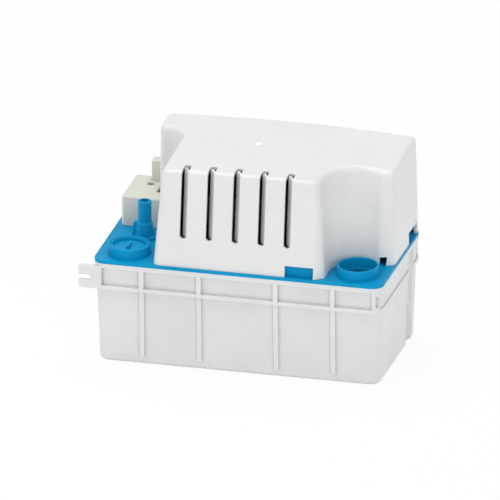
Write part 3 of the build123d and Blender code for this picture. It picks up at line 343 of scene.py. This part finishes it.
def laminated(name, colour, gap, oxide):
    """A stack of stamped sheets: bright edges, dark seams between them, a little brown oxide."""
    t = Tree(name)
    sheets = t.bands("Z", SHEET_PITCH)
    stain = t.between(t.noise(STAIN_SCALE, 4, 0.65), 0.0, 1.0, 0.5, 0.8)
    tone = t.mix(t.between(sheets, 0.0, 1.0, 0.1, 0.45), gap, colour)
    tone = t.mix(stain, tone, oxide)
    normal = t.bump(sheets, SHEET_DEPTH, t.rounded(METAL_EDGE))
    normal = t.bump(t.noise(SHEET_GRAIN, 2), SHEET_GRAIN_DEPTH, normal)
    return t.surface(
        Base_Color=tone,
        Metallic=0.9,
        Roughness=t.between(stain, 0.38, 0.62, 0.0, 1.0),
        Normal=normal,
    )


def wound(name, colour, shade):
    """Enamelled copper wire, turn beside turn."""
    t = Tree(name)
    turns = t.bands("Y", WIRE_PITCH, WIRE_WAVER)
    cloud = t.noise(WIRE_CLOUD, 3)
    tone = t.mix(t.between(cloud, 0.0, 1.0), colour, shade)
    tone = t.mix(t.between(turns, 0.0, 1.0, 0.02, 0.4), darker(shade, GROOVE_TONE), tone)
    return t.surface(
        Base_Color=tone,
        Metallic=0.85,
        Roughness=t.between(cloud, 0.24, 0.36),
        Normal=t.bump(turns, WIRE_DEPTH),
        Coat_Weight=0.5,
        Coat_Roughness=0.12,
    )


def cast(name, colour, shade, pits=700, depth=0.05 * MM, gloss=(0.42, 0.58)):
    """Die-cast or sintered metal: a fine pitted skin."""
    t = Tree(name)
    skin = t.noise(pits, 4, 0.7)
    tone = t.mix(t.between(skin, 0.0, 1.0, 0.35, 0.65), shade, colour)
    return t.surface(
        Base_Color=tone,
        Metallic=1.0,
        Roughness=t.between(skin, gloss[1], gloss[0]),
        Normal=t.bump(skin, depth, t.rounded(CAST_EDGE)),
    )


def make_materials():
    # painted highlight colour along the outer edges of the white plastics
    painted_highlight_white = srgb(250, 250, 249)
    return {
        "cover_white": moulded(
            "cover_white",
            srgb(227, 228, 226),
            srgb(223, 224, 222),
            gloss=(0.22, 0.3),
            grain_depth=0.005 * MM,
            painted_highlight_colour=painted_highlight_white,
        ),
        # the cover's white painted darker as shade, for the vent blades inside the slots
        "cover_shaded_blades": moulded(
            "cover_shaded_blades", srgb(204, 205, 203), srgb(196, 197, 195), gloss=(0.5, 0.6)
        ),
        "gate_gloss": moulded(
            "gate_gloss", srgb(252, 252, 250), srgb(248, 248, 246), gloss=(0.1, 0.16)
        ),
        "tank_white": moulded(
            "tank_white",
            srgb(225, 226, 226),
            srgb(219, 220, 220),
            gloss=(0.24, 0.33),
            grain_depth=0.006 * MM,
            milky=0.25,
            wave_depth=0.12 * MM,
            painted_highlight_colour=painted_highlight_white,
        ),
        "box_white": moulded(
            "box_white",
            srgb(219, 218, 209),
            srgb(213, 212, 202),
            painted_highlight_colour=painted_highlight_white,
        ),
        "deck_blue": moulded(
            "deck_blue",
            srgb(0, 150, 201),
            srgb(0, 144, 195),
            gloss=(0.42, 0.52),
            edge=0.3 * MM,
            level=0.12,
            # painted highlight along the deck's outer edges
            painted_highlight_colour=srgb(30, 168, 214),
        ),
        "black_plastic": moulded("black_plastic", srgb(28, 28, 30), srgb(38, 38, 40)),
        "grey_plastic": moulded(
            "grey_plastic", srgb(150, 152, 154), srgb(138, 140, 142)
        ),
        "float_plastic": moulded(
            "float_plastic", srgb(214, 206, 184), srgb(204, 195, 170), milky=0.2
        ),
        "bright_steel": metal("bright_steel", srgb(205, 206, 208), srgb(186, 187, 190)),
        "lamination_steel": laminated(
            "lamination_steel", srgb(150, 152, 156), srgb(46, 46, 50), srgb(104, 82, 66)
        ),
        "cast_alloy": cast("cast_alloy", srgb(186, 188, 190), srgb(150, 152, 156)),
        "bronze": cast(
            "bronze", srgb(196, 146, 88), srgb(132, 92, 52), pits=2200, depth=0.03 * MM
        ),
        "copper": wound("copper", srgb(204, 116, 68), srgb(176, 92, 50)),
        "black_rubber": moulded(
            "black_rubber",
            srgb(24, 24, 25),
            srgb(34, 34, 35),
            gloss=(0.6, 0.78),
            grain=900,
            grain_depth=0.03 * MM,
        ),
    }


# ---------------------------------------------------------------- cover, vent blades, gate mark
def new_piece(name, points, faces, body, material):
    """A mesh of its own that moves with a body and takes a slot's finish."""
    data = bpy.data.meshes.new(name)
    data.from_pydata(points, [], faces)
    data.validate()
    data.materials.append(material)
    piece = bpy.data.objects.new(name, data)
    bpy.context.scene.collection.objects.link(piece)
    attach(piece, body)
    return piece


def ramp(value, start, stop):
    """0 before start, 1 past stop, smooth between."""
    t = min(1.0, max(0.0, (value - start) / (stop - start)))
    return t * t * (3 - 2 * t)


def wall_at(wall, height):
    place, lean = wall
    return place + height * math.tan(math.radians(lean))


def cover_shift(x, y, height):
    """How far a point of the cover moves in X and Y, at a height above the deck in mm.

    Its walls then stand, and its scoop and vents open, as the photograph shows them.
    """
    rear, front = wall_at(REAR_WALL, height), wall_at(FRONT_WALL, height)
    share = min(1.0, max(0.0, (x - rear) / (front - rear)))
    rear_move = wall_at(REAR_WALL_SEEN, height) - rear
    front_move = wall_at(FRONT_WALL_SEEN, height) - front
    left = 1 - ramp(x, front + SIDE_HOLD, SIDE_FADE)
    dx = left * ((1 - share) * rear_move + share * front_move)
    dy = 0.0
    right = wall_at(RIGHT_WALL, height)
    beside = ramp(x, right - RIGHT_FADE[0], right - RIGHT_FADE[1])
    radius = wall_at(SCOOP_SEEN, height)
    across, rise = x - INLET[0], y - INLET[1]
    if rise > 0:
        reach = math.hypot(across, rise)
        inwards = (SCOOP_RADIUS - radius) * (1 - ramp(reach, SCOOP_HOLD, SCOOP_FADE))
        dx -= inwards * (1 - beside) * across / reach
        dy -= inwards * (1 - beside) * rise / reach
    elif across < 0:
        wall = INLET[0] - math.sqrt(SCOOP_RADIUS**2 - rise**2)
        near = ramp(x, wall - CORNER_FADE[0], wall - CORNER_FADE[1])
        dx += near * (INLET[0] - radius - wall)
    dx += beside * (wall_at(RIGHT_WALL_SEEN, height) - right)
    column = round((x - VENT_MIDDLE) / VENT_PITCH)
    aside = x - VENT_MIDDLE - column * VENT_PITCH
    if abs(column) <= VENT_COUNT // 2 and y < VENT_REAR and height > VENT_FOOT:
        if abs(aside) < VENT_NEAR:
            dx += VENT_MOVE + aside * (VENT_WIDTH_SEEN / VENT_WIDTH - 1)
    forward = LEDGE_FORWARD * (1 - height / COVER_HEIGHT) * (1 - ramp(y, *LEDGE_FADE))
    dy -= beside * forward
    return dx, dy


def make_cover(material):
    """The moulded cover with its walls, scoop and vents set as the photograph shows them."""
    data = NODES["motor_cover"].data.copy()
    data.name = "cover_shell"
    for vertex in data.vertices:
        x, y, z = (c / MM for c in vertex.co)
        dx, dy = cover_shift(x, y, z - DECK_TOP)
        vertex.co.x += dx * MM
        vertex.co.y += dy * MM
    data.materials.clear()
    data.materials.append(material)
    shell = bpy.data.objects.new("cover_shell", data)
    bpy.context.scene.collection.objects.link(shell)
    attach(shell, "cover")
    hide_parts("motor_cover")


def vent_section(x):
    """A blade's cross-section at the deck: from the slot's right side back and to the left."""
    right = x + VENT_WIDTH_SEEN / 2 + BLADE_BITE
    left = x + VENT_WIDTH_SEEN / 2 - BLADE_REACH
    front = COVER_FRONT + BLADE_FRONT
    back = COVER_FRONT + BLADE_BACK
    return [
        (right, front),
        (left, back),
        (left + BLADE_WALL / 2, back + BLADE_WALL),
        (right, front + BLADE_WALL),
    ]


def make_blades(material):
    """Slanted blades that close the right part of each vent, along the leaning front."""
    step = (BLADE_TOP - BLADE_FOOT) / BLADE_STEPS
    levels = [BLADE_FOOT + i * step for i in range(BLADE_STEPS + 1)]
    for i in range(VENT_COUNT):
        x = VENT_MIDDLE + VENT_MOVE + (i - (VENT_COUNT - 1) / 2) * VENT_PITCH
        section = vent_section(x)
        count = len(section)
        points = [
            (px * MM, (py + (z - DECK_TOP) * math.tan(FRONT_LEAN)) * MM, z * MM)
            for z in levels
            for px, py in section
        ]
        faces = [tuple(range(count))]
        for row in range(BLADE_STEPS):
            for k in range(count):
                a = row * count + k
                b = row * count + (k + 1) % count
                faces.append((a, a + count, b + count, b))
        faces.append(tuple(BLADE_STEPS * count + k for k in reversed(range(count))))
        new_piece(f"vent_blade_{i + 1}", points, faces, "cover", material)


def make_gate_mark(material):
    """The low, glossy dome of the moulding gate, over its dimple on the roof."""
    cx, cy, cz = GATE_PLACE
    points = []
    for ring in range(GATE_RINGS):
        angle = ring / GATE_RINGS * math.pi / 2
        for k in range(GATE_SIDES):
            turn = 2 * math.pi * k / GATE_SIDES
            reach = GATE_RADIUS * math.cos(angle)
            px = cx + reach * math.cos(turn)
            py = cy + reach * math.sin(turn)
            points.append((px * MM, py * MM, (cz + GATE_HEIGHT * math.sin(angle)) * MM))
    points.append((cx * MM, cy * MM, (cz + GATE_HEIGHT) * MM))
    faces = [tuple(reversed(range(GATE_SIDES)))]
    for ring in range(GATE_RINGS - 1):
        for k in range(GATE_SIDES):
            a = ring * GATE_SIDES + k
            b = ring * GATE_SIDES + (k + 1) % GATE_SIDES
            faces.append((a, b, b + GATE_SIDES, a + GATE_SIDES))
    top = (GATE_RINGS - 1) * GATE_SIDES
    for k in range(GATE_SIDES):
        faces.append((top + k, top + (k + 1) % GATE_SIDES, len(points) - 1))
    mark = new_piece("gate_mark", points, faces, "cover", material)
    mark.data.polygons.foreach_set("use_smooth", [True] * len(mark.data.polygons))


# ---------------------------------------------------------------- stage
FLOOR_REACH = 6.0
FLOOR_COLOUR = (0.93, 0.93, 0.93, 1.0)
FLOOR_GLOW = 0.9  # how far the camera and mirrors see it as white
WORLD_LEVEL = 0.7
LAMPS = {
    # name: place, side length, power, colour
    "top": ((-0.1, 0.3, 1.25), 0.8, 4.2, (1.0, 1.0, 0.98)),
    "glint": ((-0.3, -0.47, 1.23), 0.25, 2.0, (1.0, 1.0, 1.0)),
    "left": ((-1.0, -0.85, 0.45), 0.7, 1.3, (1.0, 1.0, 0.99)),
    "right": ((0.8, -1.15, 0.4), 0.7, 3.2, (0.92, 0.96, 1.0)),
}


def shows_white(t):
    """1 for rays of the camera, of mirrors and through glass, 0 for the light on the part."""
    path = t.add("ShaderNodeLightPath")
    seen = t.add(
        "ShaderNodeMath",
        {0: path.outputs["Is Camera Ray"], 1: path.outputs["Is Glossy Ray"]},
        operation="MAXIMUM",
    )
    seen = t.add(
        "ShaderNodeMath",
        {0: seen.outputs[0], 1: path.outputs["Is Transmission Ray"]},
        operation="MAXIMUM",
    )
    return seen.outputs[0]


def make_floor():
    t = Tree("floor")
    diffuse = t.add("ShaderNodeBsdfDiffuse", {"Color": FLOOR_COLOUR})
    glow = t.add("ShaderNodeEmission", {"Color": (1, 1, 1, 1), "Strength": 1.0})
    blend = t.add(
        "ShaderNodeMixShader",
        {
            0: t.add(
                "ShaderNodeMath",
                {0: shows_white(t), 1: FLOOR_GLOW},
                operation="MULTIPLY",
            ).outputs[0],
            1: diffuse.outputs[0],
            2: glow.outputs[0],
        },
    )
    t.links.new(blend.outputs[0], t.out.inputs["Surface"])
    data = bpy.data.meshes.new("floor")
    r = FLOOR_REACH
    data.from_pydata(
        [(-r, -r, 0), (r, -r, 0), (r, r, 0), (-r, r, 0)], [], [(0, 1, 2, 3)]
    )
    floor = bpy.data.objects.new("floor", data)
    floor.data.materials.append(t.material)
    bpy.context.scene.collection.objects.link(floor)


def make_world():
    world = bpy.data.worlds.new("studio")
    bpy.context.scene.world = world
    world.use_nodes = True
    tree = world.node_tree
    tree.nodes.clear()
    out = tree.nodes.new("ShaderNodeOutputWorld")
    lit = tree.nodes.new("ShaderNodeBackground")
    lit.inputs["Strength"].default_value = WORLD_LEVEL
    seen = tree.nodes.new("ShaderNodeBackground")
    seen.inputs["Strength"].default_value = 1.0
    for node in (lit, seen):
        node.inputs["Color"].default_value = (1, 1, 1, 1)
    path = tree.nodes.new("ShaderNodeLightPath")
    camera_or_glass = tree.nodes.new("ShaderNodeMath")
    camera_or_glass.operation = "MAXIMUM"
    tree.links.new(path.outputs["Is Camera Ray"], camera_or_glass.inputs[0])
    tree.links.new(path.outputs["Is Transmission Ray"], camera_or_glass.inputs[1])
    mix = tree.nodes.new("ShaderNodeMixShader")
    tree.links.new(camera_or_glass.outputs[0], mix.inputs[0])
    tree.links.new(lit.outputs[0], mix.inputs[1])
    tree.links.new(seen.outputs[0], mix.inputs[2])
    tree.links.new(mix.outputs[0], out.inputs["Surface"])


def make_lamps():
    for name, (place, side, power, colour) in LAMPS.items():
        data = bpy.data.lights.new(name, "AREA")
        data.shape = "SQUARE"
        data.size = side
        data.energy = power
        data.color = colour
        lamp = bpy.data.objects.new(name, data)
        lamp.location = place
        lamp.rotation_mode = "QUATERNION"
        lamp.rotation_quaternion = (AIM - Vector(place)).to_track_quat("-Z", "Y")
        bpy.context.scene.collection.objects.link(lamp)


def dress():
    """Each CAD node brings a plain material named after its slot, and gets the full one."""
    slots = {obj: obj.data.materials[0].name.split(".")[0] for obj in NODES.values()}
    for plain in {obj.data.materials[0] for obj in slots}:
        bpy.data.materials.remove(plain)
    made = make_materials()
    for obj, slot in slots.items():
        obj.data.materials.clear()
        obj.data.materials.append(made[slot])
    make_cover(made["cover_white"])
    # the vent blades take the cover's white painted darker as shade
    make_blades(made["cover_shaded_blades"])
    make_gate_mark(made["gate_gloss"])


make_camera()
make_world()
make_lamps()
make_floor()
dress()

bpy.context.scene.view_settings.view_transform = "Standard"
